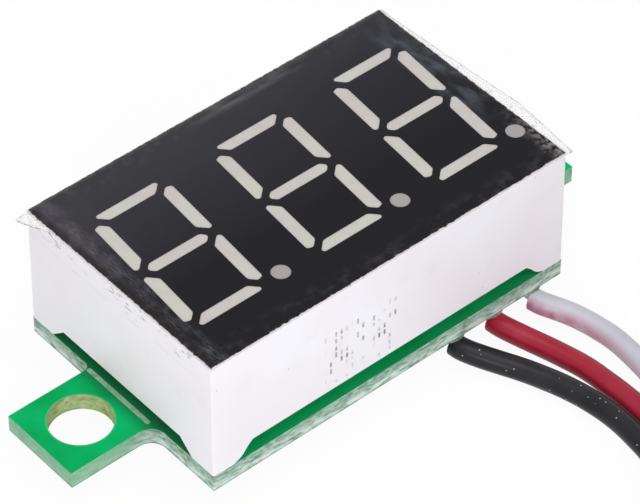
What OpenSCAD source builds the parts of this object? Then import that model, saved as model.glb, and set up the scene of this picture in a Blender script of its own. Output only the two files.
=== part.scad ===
// Three-digit panel voltmeter: a potted LED display on an eared board, with three leads.
// It lies on its back: z = 0 is the tips of the display pins, +X runs along the number,
// +Y points to the tops of the digits and the face looks up.

/* [Display] */
// Length of the display housing at its feet
display_l = 22.5; // [22:0.1:26]
// Width of the display housing at its feet
display_w = 14; // [13.6:0.1:17]
// Height of the display from its feet to its face
display_h = 7.3; // [7:0.1:9]
// How far each outer wall leans in between its foot and the face
wall_lean = 0.05; // [0.02:0.01:0.2]
// Thickness of the walls round the back cavity
housing_wall = 0.6; // [0.5:0.05:0.7]
// Depth of the reflector block that holds the light wells
reflector_t = 4.2; // [3:0.1:4.6]
// Height of the gap between the long walls' rims and the board
rim_gap = 0.95; // [0.7:0.05:1.2]
// Height of the gap under the short walls
side_gap = 0.8; // [0.5:0.05:1.2]
// Length of a corner foot along the long wall
foot_l = 1.25; // [1:0.05:2]
// Length of a corner foot along the short wall
foot_w = 1.6; // [1.2:0.05:2.2]
// Thickness of the black face film
film_t = 0.1; // [0.05:0.01:0.2]
// Greatest reach of the casting flash past the short walls
flash_reach = 0.75; // [0.4:0.05:1]

/* [Digits] */
// Number of digits
digits = 3; // [1:1:3]
// Distance from one digit to the next
digit_pitch = 7.5; // [7.2:0.1:7.6]
// Width of a digit over its upright segments
digit_w = 4.78; // [4.4:0.02:5]
// Height of a digit over its segments
digit_h = 9; // [8:0.1:9.6]
// Width of an upright segment
upright_t = 0.74; // [0.6:0.02:0.9]
// Width of a level segment
level_t = 0.68; // [0.5:0.02:0.9]
// Gap between neighbouring segments
segment_gap = 0.4; // [0.25:0.05:0.5]
// Lean of the digits, in degrees
digit_lean = 4.75; // [0:0.25:8]
// Diameter of a decimal point
dot_d = 1; // [0.8:0.05:1.2]
// Distance from a digit's middle to its decimal point
dot_x = 2.87; // [2.75:0.01:3.1]
// Size of a light well at its chip, as a share of its window
well_taper = 0.4; // [0.3:0.05:0.8]

/* [LED board] */
// Thickness of the LED board
led_board_t = 0.6; // [0.4:0.1:0.8]
// Room between the LED board and the cavity walls
led_board_gap = 0.1; // [0.05:0.01:0.15]
// Depth of the resin between the wells and the LED board
chip_layer = 0.3; // [0.25:0.05:0.5]
// Side of an LED chip
chip_side = 0.28; // [0.2:0.02:0.35]
// Thickness of an LED chip
chip_t = 0.2; // [0.1:0.02:0.22]

/* [Display pins] */
// Pins in each row
row_pins = 6; // [2:1:6]
// Distance from pin to pin
pin_pitch = 2.54; // [2:0.01:2.6]
// Distance from a row of pins to the display's long edge
row_inset = 1.92; // [1.85:0.01:2.1]
// Diameter of a pin
pin_d = 0.5; // [0.4:0.05:0.6]
// How far the pins stand out under the board
pin_drop = 1.6; // [1.6:0.1:2.5]
// Diameter of a pin's hole in the board
pin_hole_d = 0.8; // [0.7:0.05:0.95]
// Diameter of a solder joint at the board
solder_d = 1.2; // [1.1:0.05:1.3]
// Height of a solder joint
solder_h = 1; // [0.6:0.05:1.3]

/* [Main board] */
// Thickness of the board
board_t = 1; // [0.8:0.1:1.6]
// Length of an ear
ear_l = 5; // [4.4:0.1:7]
// Width of an ear
ear_w = 4.9; // [4.4:0.1:8]
// Diameter of an ear's hole
ear_hole_d = 3.3; // [2.2:0.1:3.4]
// Radius where an ear meets the board, on its lead side
ear_fillet = 0.9; // [0.4:0.1:1.2]
// Radius where an ear meets the board, on its other side
ear_back_fillet = 0.35; // [0.15:0.05:1.2]
// Radius of the board's four outer corners
board_corner_r = 0.05; // [0.05:0.05:0.4]

/* [Microcontroller] */
// Length of the microcontroller's body
mcu_l = 6.5; // [5:0.1:6.8]
// Width of the microcontroller's body
mcu_w = 4.4; // [3.8:0.1:4.6]
// Thickness of the microcontroller's body
mcu_t = 0.95; // [0.8:0.05:1.2]
// Leads along each side
mcu_side_leads = 10; // [4:1:10]
// Distance from lead to lead
mcu_lead_pitch = 0.65; // [0.5:0.05:0.65]
// Width over the leads
mcu_span = 6.4; // [6:0.1:6.6]

/* [Regulator and diode] */
// Length of the regulator's body
regulator_l = 4.5; // [4:0.1:4.6]
// Width of the regulator's body
regulator_w = 2.5; // [2.2:0.1:2.6]
// Height of the regulator's body
regulator_t = 1.5; // [1.3:0.05:1.5]
// Length of the diode's body
diode_l = 2.7; // [2.4:0.1:2.8]
// Width of the diode's body
diode_w = 1.6; // [1.4:0.1:1.8]
// Height of the diode's body
diode_t = 1.15; // [0.9:0.05:1.3]

/* [Trimmer] */
// Side of the trimmer's square base
trimmer_side = 3.2; // [3:0.1:3.4]
// Thickness of the trimmer's base
trimmer_base_t = 0.45; // [0.3:0.05:0.5]
// Diameter of the trimmer's rotor
rotor_d = 2.7; // [2.4:0.1:2.8]
// Thickness of the rotor
rotor_t = 0.55; // [0.45:0.05:0.6]
// Diameter of the eyelet that the rotor turns on
eyelet_d = 0.76; // [0.6:0.02:0.9]
// Running clearance round the eyelet
eyelet_clearance = 0.04; // [0.02:0.01:0.08]
// Width of the screwdriver slot
slot_w = 0.45; // [0.35:0.05:0.6]

/* [Leads] */
// Diameter over the insulation
lead_d = 1.2; // [1:0.05:1.25]
// Diameter of the bared strands
strand_d = 0.4; // [0.3:0.05:0.5]
// Diameter of a lead's solder joint
lead_solder_d = 1; // [0.8:0.05:1]

/* [Hidden] */
$fn = 48;
EPS = 0.01;

// Levels above the pin tips
z_back = pin_drop;
z_board = z_back + board_t;
z_rim = z_board + rim_gap;
z_face = z_board + display_h;
z_top = z_face - film_t;
z_wells = z_top - reflector_t;
z_led_top = z_wells - chip_layer;
z_led_back = z_led_top - led_board_t;
resin_recess = 0.1;
flash_t = 0.08;
z_resin = z_rim + resin_recess;

// Display cavity and LED board
cavity_l = display_l - 2 * housing_wall;
cavity_w = display_w - 2 * housing_wall;
led_board_l = cavity_l - 2 * led_board_gap;
led_board_w = cavity_w - 2 * led_board_gap;
// Slope from a corner foot up to a long wall's rim: [share of its run, share of its height]
foot_slope = [[0, 0], [0.3, 0.15], [0.5, 0.35], [0.73, 0.7], [1, 1]];
foot_run = 1.25 * rim_gap;
side_slope = 0.9;

// Segment outline: bar centre lines, and where the mitres cut them
bar_x = (digit_w - upright_t) / 2;
bar_y = (digit_h - level_t) / 2;
mitre = segment_gap / sqrt(2);
middle_joint = 2 * mitre;
upright_share = 0.74;
corner_round = 0.12;
outer_cut = 0.26;
corner_ease = 0.12;
ease_steps = 3;

// Display pins
row_spacing = display_w - 2 * row_inset;
pin_point = 0.1;
pin_head_d = 0.9;
pin_head_t = 0.15;
solder_neck = 0.05;

// Main board
board_l = display_l;
board_w = display_w;
ear_x = (board_l + ear_l) / 2;

// Chip packages on the back
mcu_at = [-2.5, 0];
mcu_standoff = 0.1;
mcu_lead_w = 0.24;
mcu_lead_t = 0.15;
mcu_foot = 0.55;
mcu_knee = 0.15;
mould_lean = 0.12;
pin_mark_d = 0.5;
pin_mark_depth = 0.06;
pin_mark_inset = 0.9;
regulator_at = [8.8, 1.6];
regulator_lead_t = 0.4;
regulator_lead_reach = 0.8;
regulator_pitch = 1.5;
regulator_lead_w = 0.45;
regulator_tab_w = 1.65;
regulator_tab_reach = 0.5;
diode_at = [4.3, -2.8];
diode_lead_w = 0.6;
diode_lead_t = 0.2;
diode_span = 3.7;

// Chip capacitors and resistors: [x, y, turn]
small_caps = [[3.4, 0.4, 0], [3.4, 2, 0]];
small_cap = [2, 1.25, 0.85, 0.4];
large_caps = [[9, -3.2, 0]];
large_cap = [3.2, 1.6, 1.1, 0.5];
resistor = [1.6, 0.8, 0.45, 0.3];
resistor_rows = 3;
resistor_row_pitch = 1.3;
resistor_columns = [-9.8, -7.6];
resistor_top_y = -1.1;
divider_resistors = [[3.4, 3.6, 0], [5.6, 1.2, 90]];

// Trimmer
trimmer_at = [-8.8, 2.1];
terminal_t = 0.2;
terminal_w = 0.8;
terminal_reach = 0.3;
base_chamfer = 0.5;
rotor_gap = 0.05;
flange_d = 1.24;
flange_t = 0.12;
flange_play = 0.02;
flange_rise = 0.07;
counterbore_d = 1.4;
slot_depth = 0.2;
z_base_top = z_back - terminal_t;
z_base = z_base_top - trimmer_base_t;
z_rotor_top = z_base - rotor_gap;
z_rotor = z_rotor_top - rotor_t;
z_flange = z_rotor + flange_rise;
z_counterbore = z_flange + flange_t + flange_play;

// Leads: where each leaves the board, and its route to the coil. A route's points are
// [x past the pad, y past the board's edge, share of the drop that is left].
lead_x = [4.3, 6.84, 9.38];
edge_y = -board_w / 2;
z_lead = z_back - lead_d / 2;
lead_joint_inset = 0.7;
lead_joint_y = edge_y + lead_joint_inset;
lead_solder_h = 0.85;
strand_grip = 0.1;
lead_routes = [
    [
        [0, 0.2, 1], [0.05, -0.2, 1], [0.4, -0.95, 0.75], [1, -1.95, 0.375], [1.6, -3, 0.125],
        [2.1, -4.15, 0], [2.5, -5.4, 0], [2.8, -6.9, 0], [2.9, -8.5, 0], [2.75, -10.2, 0],
        [2.45, -12, 0], [2.15, -13.8, 0], [2, -15.4, 0]
    ],
    [
        [0, 0.2, 1], [0.06, -0.3, 1], [0.31, -1, 0.75], [0.66, -1.8, 0.375],
        [1.01, -2.7, 0.125], [1.31, -3.7, 0], [1.56, -4.9, 0], [1.66, -6.2, 0], [1.71, -7.6, 0],
        [1.66, -9.1, 0], [1.46, -11, 0], [1.11, -13, 0], [0.76, -15, 0]
    ],
    [
        [0, 0, 1], [0.12, -0.5, 1], [0.47, -1.1, 0.75], [0.87, -1.75, 0.375],
        [1.17, -2.5, 0.125], [1.37, -3.4, 0], [1.47, -4.4, 0], [1.42, -5.5, 0], [1.27, -6.8, 0],
        [1.02, -8.3, 0], [0.57, -10.2, 0], [0.02, -12.2, 0], [-0.43, -14.4, 0]
    ]
];
tube_sides = 8;

// Coil: three concentric windings, its tie and the tinned ends
coil_at = [14, edge_y - 17];
winding_r = [7.75, 6.5, 5.25];
winding_turns = [2.55, 3.05, 3.8];
winding_pitch = 1.3;
winding_top = [for (t = winding_turns) lead_d + t * winding_pitch];
coil_in = winding_r[2] - lead_d / 2;
coil_out = winding_r[0] + lead_d / 2;
tie_w = 1.6;
tie_t = 0.3;
tip_l = 5;

// Builds the solid between two levels whose four sides lean in by the same amount.
module leaning_block(l, w, z0, z1, lean_in) {
    intersection() {
        rotate([90, 0, 0])
            linear_extrude(w, center = true)
                polygon([[-l / 2, z0], [l / 2, z0], [l / 2 - lean_in, z1], [-l / 2 + lean_in, z1]]);
        rotate([90, 0, 90])
            linear_extrude(l, center = true)
                polygon([[-w / 2, z0], [w / 2, z0], [w / 2 - lean_in, z1], [-w / 2 + lean_in, z1]]);
    }
}

// Box between two levels, centred on x and y.
module slab(l, w, z0, z1) {
    translate([-l / 2, -w / 2, z0])
        cube([l, w, z1 - z0]);
}

// Copies its children to each digit's middle.
module each_digit() {
    for (i = [0 : digits - 1])
        translate([(i - (digits - 1) / 2) * digit_pitch, 0, 0])
            children();
}

// Point on the line from p to q, d from p but never past its middle.
function toward(p, q, d) = p + (q - p) * min(0.45, d / norm(q - p));

// Curve that replaces the corner p between two of its neighbours.
function soft_corner(p, a, b) = [
    for (i = [0 : ease_steps])
        let (s = i / ease_steps)
            (1 - s) * (1 - s) * a + 2 * s * (1 - s) * p + s * s * b
];

// Outline with every corner softened, as a moulded well's are.
function softened(points) = [
    for (i = [0 : len(points) - 1])
        let (
            p = points[i],
            before = points[(i + len(points) - 1) % len(points)],
            after = points[(i + 1) % len(points)]
        )
            for (q = soft_corner(p, toward(p, before, corner_ease), toward(p, after, corner_ease)))
                q
];

// Segment outlines of an upright digit; lean() then slants them.
function lean(p) = [p[0] + p[1] * tan(digit_lean), p[1]];
function flip(points, sx, sy) = [for (p = points) [sx * p[0], sy * p[1]]];
function mirrored(points) = [for (i = [len(points) - 1 : -1 : 0]) [-points[i][0], points[i][1]]];

upright_in = bar_x - upright_t / 2;
upright_out = bar_x + upright_t / 2;
corner_line = bar_y - bar_x;
middle_line = bar_x + upright_share * middle_joint;
upright = softened([
    [upright_in, middle_line - upright_in],
    [middle_line - outer_cut, outer_cut],
    [upright_out, outer_cut + corner_round],
    [upright_out, bar_y - outer_cut - corner_round],
    [bar_y - outer_cut - corner_line + mitre, bar_y - outer_cut],
    [upright_in, upright_in + corner_line - mitre]
]);

level_in = bar_y - level_t / 2;
level_out = bar_y + level_t / 2;
level_end = bar_x - corner_round;
level_half = [
    [level_in - corner_line - mitre, level_in],
    [level_end, level_end + corner_line + mitre],
    [level_end - corner_round, level_out]
];
level = softened(concat(level_half, mirrored(level_half)));

middle_end = bar_x - (1 - upright_share) * middle_joint;
tip_half = 0.08;
middle_half = [
    [middle_end - level_t / 2, -level_t / 2],
    [middle_end - tip_half, -tip_half],
    [middle_end - tip_half, tip_half],
    [middle_end - level_t / 2, level_t / 2]
];
middle = softened(concat(middle_half, mirrored(middle_half)));

// Each segment as [outline, middle point]
segments = [
    [level, [0, bar_y]],
    [upright, [bar_x, bar_y / 2]],
    [flip(upright, 1, -1), [bar_x, -bar_y / 2]],
    [flip(level, 1, -1), [0, -bar_y]],
    [flip(upright, -1, -1), [-bar_x, -bar_y / 2]],
    [flip(upright, -1, 1), [-bar_x, bar_y / 2]],
    [middle, [0, 0]]
];
dot_at = [dot_x, -bar_y];

// Flat windows of one digit and its decimal point.
module digit_windows() {
    for (s = segments)
        polygon([for (p = s[0]) lean(p)]);
    translate(dot_at)
        circle(d = dot_d);
}

// Light wells of one digit: each narrows from its window to its chip.
module digit_wells() {
    for (s = segments)
        let (mid = lean(s[1]))
            translate([mid[0], mid[1], z_top])
                mirror([0, 0, 1])
                    linear_extrude(reflector_t, scale = well_taper)
                        polygon([for (p = s[0]) lean(p) - mid]);
    translate([dot_at[0], dot_at[1], z_wells])
        cylinder(h = reflector_t, d1 = dot_d * well_taper, d2 = dot_d);
}

// Outer form of the housing, before anything is cut from it.
module housing_form() {
    leaning_block(display_l, display_w, z_board, z_top, wall_lean);
}

// Gap under the long walls: each end slopes down to its corner foot.
module long_wall_gap() {
    half = display_l / 2 - foot_l;
    slope = [for (p = foot_slope) [half - p[0] * foot_run, z_board + p[1] * rim_gap]];
    rotate([90, 0, 0])
        linear_extrude(2 * display_w, center = true)
            polygon(concat(
                [[-half, z_board - EPS], [half, z_board - EPS]],
                slope,
                mirrored(slope)
            ));
}

// Gap under the short walls, with sloping ends.
module short_wall_gap() {
    half = display_w / 2 - foot_w;
    z1 = z_board + side_gap;
    rotate([90, 0, 90])
        linear_extrude(2 * display_l, center = true)
            polygon([
                [-half, z_board - EPS], [half, z_board - EPS],
                [half - side_slope, z1], [-half + side_slope, z1]
            ]);
}

module display_housing() {
    color("#ECEAEE")
        difference() {
            housing_form();
            slab(cavity_l, cavity_w, z_board - EPS, z_wells);
            long_wall_gap();
            short_wall_gap();
            each_digit()
                digit_wells();
        }
}

module face_film() {
    color("#26262A")
        translate([0, 0, z_top])
            linear_extrude(film_t)
                difference() {
                    square([display_l - 2 * wall_lean, display_w - 2 * wall_lean], center = true);
                    each_digit()
                        digit_windows();
                }
}

// Two slivers of cured resin that stand out of the top edge of the short walls.
module edge_flash() {
    x = display_l / 2 - wall_lean;
    y = display_w / 2 - wall_lean;
    color("#E4E2E0")
        difference() {
            translate([0, 0, z_top - flash_t])
                linear_extrude(flash_t) {
                    polygon([
                        [-x + EPS, y], [-x - flash_reach, y - 0.15 * flash_reach],
                        [-x - 0.8 * flash_reach, y - 0.8 * flash_reach], [-x + EPS, y - 2.4 * flash_reach]
                    ]);
                    polygon([
                        [x - EPS, y], [x + 0.2 * flash_reach, y], [x + 0.5 * flash_reach, 0.4 * y],
                        [x + flash_reach, -0.4 * y], [x + 0.5 * flash_reach, -y], [x - EPS, -y]
                    ]);
                }
            housing_form();
        }
}

// A row of display pins; side is 1 for the upper row and -1 for the lower.
module each_pin(side) {
    for (i = [0 : row_pins - 1])
        translate([(i - (row_pins - 1) / 2) * pin_pitch, side * row_spacing / 2, 0])
            children();
}

module display_pin() {
    cylinder(h = pin_point, d1 = pin_d - pin_point, d2 = pin_d);
    translate([0, 0, pin_point])
        cylinder(h = z_led_top - pin_point, d = pin_d);
    translate([0, 0, z_led_top])
        cylinder(h = pin_head_t, d = pin_head_d);
}

module display_pins_upper() {
    color("#C9CACB")
        each_pin(1)
            display_pin();
}

module display_pins_lower() {
    color("#C9CACB")
        each_pin(-1)
            display_pin();
}

// Both rows of pins, for cutting what they pass through.
module pin_bodies() {
    for (side = [-1, 1])
        each_pin(side)
            display_pin();
}

module led_board() {
    color("#D8D2B8")
        difference() {
            slab(led_board_l, led_board_w, z_led_back, z_led_top);
            pin_bodies();
        }
}

module led_chips() {
    color("#B8B4A0")
        each_digit() {
            for (s = segments)
                let (mid = lean(s[1]))
                    translate([mid[0], mid[1], 0])
                        slab(chip_side, chip_side, z_led_top, z_led_top + chip_t);
            translate([dot_at[0], dot_at[1], 0])
                slab(chip_side, chip_side, z_led_top, z_led_top + chip_t);
        }
}

module potting_resin() {
    color("#B0AEAA")
        difference() {
            union() {
                slab(cavity_l, cavity_w, z_resin, z_wells);
                each_digit()
                    digit_wells();
                translate([0, 0, z_top])
                    linear_extrude(film_t / 2)
                        each_digit()
                            digit_windows();
            }
            slab(led_board_l, led_board_w, z_led_back, z_led_top);
            led_chips();
            pin_bodies();
        }
}

// Solder round one pin: it fills the hole and sweeps down the pin under the board.
module pin_joint() {
    steps = 4;
    rotate_extrude()
        polygon(concat(
            [[pin_d / 2, z_back - solder_h], [pin_d / 2, z_board], [pin_hole_d / 2, z_board],
             [pin_hole_d / 2, z_back]],
            [for (i = [0 : steps])
                let (a = 90 * i / steps)
                    [solder_d / 2 - (solder_d / 2 - pin_d / 2 - solder_neck) * sin(a),
                     z_back - solder_h * (1 - cos(a))]]
        ));
}

module pin_solder_upper() {
    color("#BFC1C4")
        each_pin(1)
            pin_joint();
}

module pin_solder_lower() {
    color("#BFC1C4")
        each_pin(-1)
            pin_joint();
}

// What fills the corner between the board and an ear's side, up to a round inner corner.
module ear_root(fillet) {
    difference() {
        translate([-EPS, -EPS])
            square(fillet + EPS);
        translate([fillet, fillet])
            circle(fillet);
    }
}

// One ear with the rounded corners where it leaves the board.
module ear() {
    translate([board_l / 2 - EPS, -ear_w / 2])
        square([ear_l + EPS, ear_w]);
    translate([board_l / 2, ear_w / 2])
        ear_root(ear_back_fillet);
    translate([board_l / 2, -ear_w / 2])
        mirror([0, 1])
            ear_root(ear_fillet);
}

// The board without its ears.
module board_panel() {
    square([board_l - 2 * board_corner_r, board_w], center = true);
    square([board_l, board_w - 2 * board_corner_r], center = true);
    for (x = [-1, 1], y = [-1, 1])
        translate([x * (board_l / 2 - board_corner_r), y * (board_w / 2 - board_corner_r)])
            circle(board_corner_r);
}

module main_board() {
    color("#12A85C")
        translate([0, 0, z_back])
            linear_extrude(board_t)
                difference() {
                    union() {
                        board_panel();
                        ear();
                        mirror([1, 0])
                            ear();
                    }
                    for (side = [-1, 1])
                        translate([side * ear_x, 0])
                            circle(d = ear_hole_d);
                    for (side = [-1, 1])
                        each_pin(side)
                            circle(d = pin_hole_d);
                }
}

// Moulded chip body that hangs under the board; all its sides lean to a parting line.
module chip_body(l, w, z_low, z_high) {
    mid = (z_low + z_high) / 2;
    leaning_block(l, w, mid, z_high, mould_lean);
    mirror([0, 0, 1])
        leaning_block(l, w, -mid, -z_low, mould_lean);
}

module microcontroller() {
    z1 = z_back - mcu_standoff;
    z0 = z1 - mcu_t;
    color("#232326")
        translate([mcu_at[0], mcu_at[1], 0])
            difference() {
                chip_body(mcu_l, mcu_w, z0, z1);
                translate([mcu_l / 2 - pin_mark_inset, -mcu_w / 2 + pin_mark_inset, z0 - EPS])
                    cylinder(h = pin_mark_depth + EPS, d = pin_mark_d);
            }
}

// Gull-wing lead: out of the body's middle, up to the board and along it.
module gull_lead(body_half, half_span, z_mid) {
    knee = half_span - mcu_foot;
    rotate([90, 0, 90])
        linear_extrude(mcu_lead_w, center = true)
            polygon([
                [body_half - EPS, z_mid - mcu_lead_t / 2], [knee, z_mid - mcu_lead_t / 2],
                [knee + mcu_knee, z_back - mcu_lead_t], [half_span, z_back - mcu_lead_t],
                [half_span, z_back], [knee, z_back],
                [knee - mcu_knee, z_mid + mcu_lead_t / 2], [body_half - EPS, z_mid + mcu_lead_t / 2]
            ]);
}

module microcontroller_leads() {
    z_mid = z_back - mcu_standoff - mcu_t / 2;
    color("#C4C5C8")
        difference() {
            translate([mcu_at[0], mcu_at[1], 0])
                for (side = [0, 1], i = [0 : mcu_side_leads - 1])
                    mirror([0, side, 0])
                        translate([(i - (mcu_side_leads - 1) / 2) * mcu_lead_pitch, 0, 0])
                            gull_lead(mcu_w / 2, mcu_span / 2, z_mid);
            microcontroller();
        }
}

// The regulator lies with its length along Y; its leads point to -X and its tab to +X.
module voltage_regulator() {
    color("#28282B")
        translate([regulator_at[0], regulator_at[1], 0])
            mirror([0, 0, 1])
                leaning_block(regulator_w, regulator_l, -z_back, -z_back + regulator_t, mould_lean);
}

module regulator_leads() {
    color("#C4C5C8")
        translate([regulator_at[0], regulator_at[1], z_back - regulator_lead_t])
            linear_extrude(regulator_lead_t) {
                for (i = [-1 : 1])
                    translate([-regulator_w / 2 - regulator_lead_reach,
                               i * regulator_pitch - regulator_lead_w / 2])
                        square([regulator_lead_reach, regulator_lead_w]);
                translate([regulator_w / 2, -regulator_tab_w / 2])
                    square([regulator_tab_reach, regulator_tab_w]);
            }
}

module protection_diode() {
    color("#242427")
        translate([diode_at[0], diode_at[1], 0])
            chip_body(diode_l, diode_w, z_back - diode_t, z_back - diode_lead_t / 4);
}

module diode_leads() {
    color("#C4C5C8")
        difference() {
            translate([diode_at[0], diode_at[1], 0])
                slab(diode_span, diode_lead_w, z_back - diode_lead_t, z_back);
            protection_diode();
            translate([diode_at[0], diode_at[1], 0])
                slab(diode_l - 2 * mould_lean - 2 * EPS, diode_w, z_back - diode_lead_t, z_back + EPS);
        }
}

// Ceramic middle of a chip part; size is [length, width, height, end length].
module chip_middle(size) {
    slab(size[0] - 2 * size[3], size[1], z_back - size[2], z_back);
}

module chip_end_caps(size) {
    for (side = [0, 1])
        mirror([side, 0, 0])
            translate([size[0] / 2 - size[3] / 2, 0, 0])
                slab(size[3], size[1], z_back - size[2], z_back);
}

// Copies its children to each [x, y, turn] in a list.
module each_place(places) {
    for (p = places)
        translate([p[0], p[1], 0])
            rotate(p[2])
                children();
}

resistor_places = concat(
    [for (x = resistor_columns, i = [0 : resistor_rows - 1])
        [x, resistor_top_y - i * resistor_row_pitch, 0]],
    divider_resistors
);

module ceramic_capacitors() {
    color("#B59A72") {
        each_place(small_caps)
            chip_middle(small_cap);
        each_place(large_caps)
            chip_middle(large_cap);
    }
}

module capacitor_ends() {
    color("#C9CACB") {
        each_place(small_caps)
            chip_end_caps(small_cap);
        each_place(large_caps)
            chip_end_caps(large_cap);
    }
}

module chip_resistors() {
    color("#1E1E20")
        each_place(resistor_places)
            chip_middle(resistor);
}

module resistor_ends() {
    color("#C9CACB")
        each_place(resistor_places)
            chip_end_caps(resistor);
}

module trimmer_base() {
    half = trimmer_side / 2;
    cut = half - base_chamfer;
    color("#E9E4D6")
        translate([trimmer_at[0], trimmer_at[1], z_base])
            linear_extrude(trimmer_base_t)
                difference() {
                    polygon([
                        [-half, -cut], [-cut, -half], [cut, -half], [half, -cut],
                        [half, cut], [cut, half], [-cut, half], [-half, cut]
                    ]);
                    circle(d = eyelet_d);
                }
}

// Two outer terminals on one side and the wiper's on the other.
module trimmer_terminals() {
    length = trimmer_side / 2 + terminal_reach - eyelet_d / 2;
    color("#C9CACB")
        translate([trimmer_at[0], trimmer_at[1], z_base_top])
            linear_extrude(terminal_t) {
                for (side = [-1, 1])
                    translate([side * (trimmer_side / 2 - terminal_w / 2) - terminal_w / 2,
                               eyelet_d / 2])
                        square([terminal_w, length]);
                translate([-terminal_w / 2, -trimmer_side / 2 - terminal_reach])
                    square([terminal_w, trimmer_side / 2 + terminal_reach + eyelet_d / 2]);
            }
}

module trimmer_eyelet() {
    color("#B9BABD")
        translate([trimmer_at[0], trimmer_at[1], 0]) {
            translate([0, 0, z_flange])
                cylinder(h = z_base_top - z_flange, d = eyelet_d);
            translate([0, 0, z_flange])
                cylinder(h = flange_t, d = flange_d);
        }
}

module trimmer_rotor() {
    color("#C8A24A")
        translate([trimmer_at[0], trimmer_at[1], z_rotor])
            difference() {
                cylinder(h = rotor_t, d = rotor_d);
                translate([0, 0, -EPS])
                    cylinder(h = rotor_t + 2 * EPS, d = eyelet_d + 2 * eyelet_clearance);
                translate([0, 0, -EPS])
                    cylinder(h = z_counterbore - z_rotor + EPS, d = counterbore_d);
                slab(2 * rotor_d, slot_w, -EPS, slot_depth);
            }
}

// Bared strands between a lead's insulation and its solder joint.
module lead_conductors() {
    joint_reach = lead_solder_d / 2 - strand_grip;
    color("#B87F4C")
        for (i = [0 : len(lead_x) - 1])
            translate([lead_x[i], lead_joint_y + joint_reach, z_lead])
                rotate([90, 0, 0])
                    cylinder(h = lead_joint_y + joint_reach - edge_y - lead_routes[i][0][1], d = strand_d);
}

// Domed solder joint, as round as its width and as high as it was heaped.
module lead_dome() {
    steps = 6;
    rotate_extrude()
        polygon(concat(
            [[0, z_back]],
            [for (i = [0 : steps])
                let (a = 90 * i / steps)
                    [lead_solder_d / 2 * cos(a), z_back - lead_solder_h * sin(a)]]
        ));
}

module lead_solder() {
    color("#BFC1C4")
        difference() {
            for (x = lead_x)
                translate([x, lead_joint_y, 0])
                    lead_dome();
            lead_conductors();
        }
}

// Points of a lead's middle line, from the board's edge to the start of its winding.
function lead_route(i) = concat(
    [for (p = lead_routes[i])
        [lead_x[i] + p[0], edge_y + p[1], lead_d / 2 + p[2] * (z_lead - lead_d / 2)]],
    [[coil_at[0] - winding_r[i], coil_at[1], lead_d / 2]]
);

// Round tube along a route of points, with one ring at each point.
function unit(v) = v / norm(v);
function heading(route, i) =
    i == 0 ? [0, -1, 0]
    : i == len(route) - 1 ? [0, -1, 0]
    : unit(route[i + 1] - route[i - 1]);
function tube_ring(route, i) =
    let (t = heading(route, i), side = unit(cross(t, [0, 0, 1])), up = cross(side, t))
        [for (k = [0 : tube_sides - 1])
            let (a = 360 * (k + 0.5) / tube_sides)
                route[i] + lead_d / 2 * (cos(a) * side + sin(a) * up)];

module tube(route) {
    rings = len(route);
    last = (rings - 1) * tube_sides;
    points = [for (i = [0 : rings - 1]) each tube_ring(route, i)];
    sides = [for (i = [0 : rings - 2], k = [0 : tube_sides - 1])
        let (n = (k + 1) % tube_sides, a = i * tube_sides)
            [a + k, a + n, a + n + tube_sides, a + k + tube_sides]];
    caps = [
        [for (k = [tube_sides - 1 : -1 : 0]) k],
        [for (k = [0 : tube_sides - 1]) last + k]
    ];
    polyhedron(points, concat(sides, caps), convexity = 4);
}

module lead_black() {
    color("#2B2B30")
        tube(lead_route(0));
}

module lead_red() {
    color("#A32338")
        tube(lead_route(1));
}

module lead_white() {
    color("#D9D9E2")
        tube(lead_route(2));
}

// Section of the wound leads: each winding stands as high as its turns.
module coil_section() {
    polygon(concat(
        [[coil_in, 0], [coil_out, 0]],
        [for (i = [0 : 2], side = [1, -1]) [winding_r[i] + side * lead_d / 2, winding_top[i]]]
    ));
}

module coil_form() {
    translate([coil_at[0], coil_at[1], 0])
        rotate_extrude()
            coil_section();
}

// Band pulled tight round the coil's section, on the side away from the meter.
module tie_band() {
    translate([coil_at[0], coil_at[1], 0])
        rotate([90, 0, 0])
            linear_extrude(tie_w, center = true)
                polygon([
                    [coil_in - tie_t, 0], [coil_out + tie_t, 0], [coil_out + tie_t, winding_top[0] + tie_t],
                    [winding_r[1] + lead_d / 2, winding_top[1] + tie_t],
                    [winding_r[2] + lead_d / 2, winding_top[2] + tie_t],
                    [coil_in - tie_t, winding_top[2] + tie_t]
                ]);
}

module tie_groove() {
    translate([coil_at[0] + coil_in - tie_t, coil_at[1] - tie_w / 2, -EPS])
        cube([coil_out - coil_in + 2 * tie_t, tie_w, tie_t + EPS]);
}

module lead_coil() {
    color("#77737A")
        difference() {
            coil_form();
            tie_groove();
        }
}

module coil_tie() {
    color("#2A2A2C")
        difference() {
            tie_band();
            lead_coil();
        }
}

// Tinned ends, which carry on round the top of each winding.
module lead_tips() {
    color("#C9CACB")
        for (i = [0 : 2])
            translate([coil_at[0], coil_at[1], lead_d / 2 + winding_turns[i] * winding_pitch])
                rotate(180 + 360 * winding_turns[i])
                    rotate_extrude(angle = tip_l / winding_r[i] * 180 / PI)
                        translate([winding_r[i], 0])
                            circle(d = strand_d);
}

display_housing();
face_film();
edge_flash();
potting_resin();
led_board();
led_chips();
display_pins_upper();
display_pins_lower();
pin_solder_upper();
pin_solder_lower();
main_board();
microcontroller();
microcontroller_leads();
voltage_regulator();
regulator_leads();
protection_diode();
diode_leads();
ceramic_capacitors();
capacitor_ends();
chip_resistors();
resistor_ends();
trimmer_base();
trimmer_terminals();
trimmer_eyelet();
trimmer_rotor();
lead_solder();
lead_conductors();
lead_black();
lead_red();
lead_white();
lead_coil();
coil_tie();
lead_tips();
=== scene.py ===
"""Looks of a small three-digit LED panel voltmeter with three leads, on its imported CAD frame."""

import math

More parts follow.
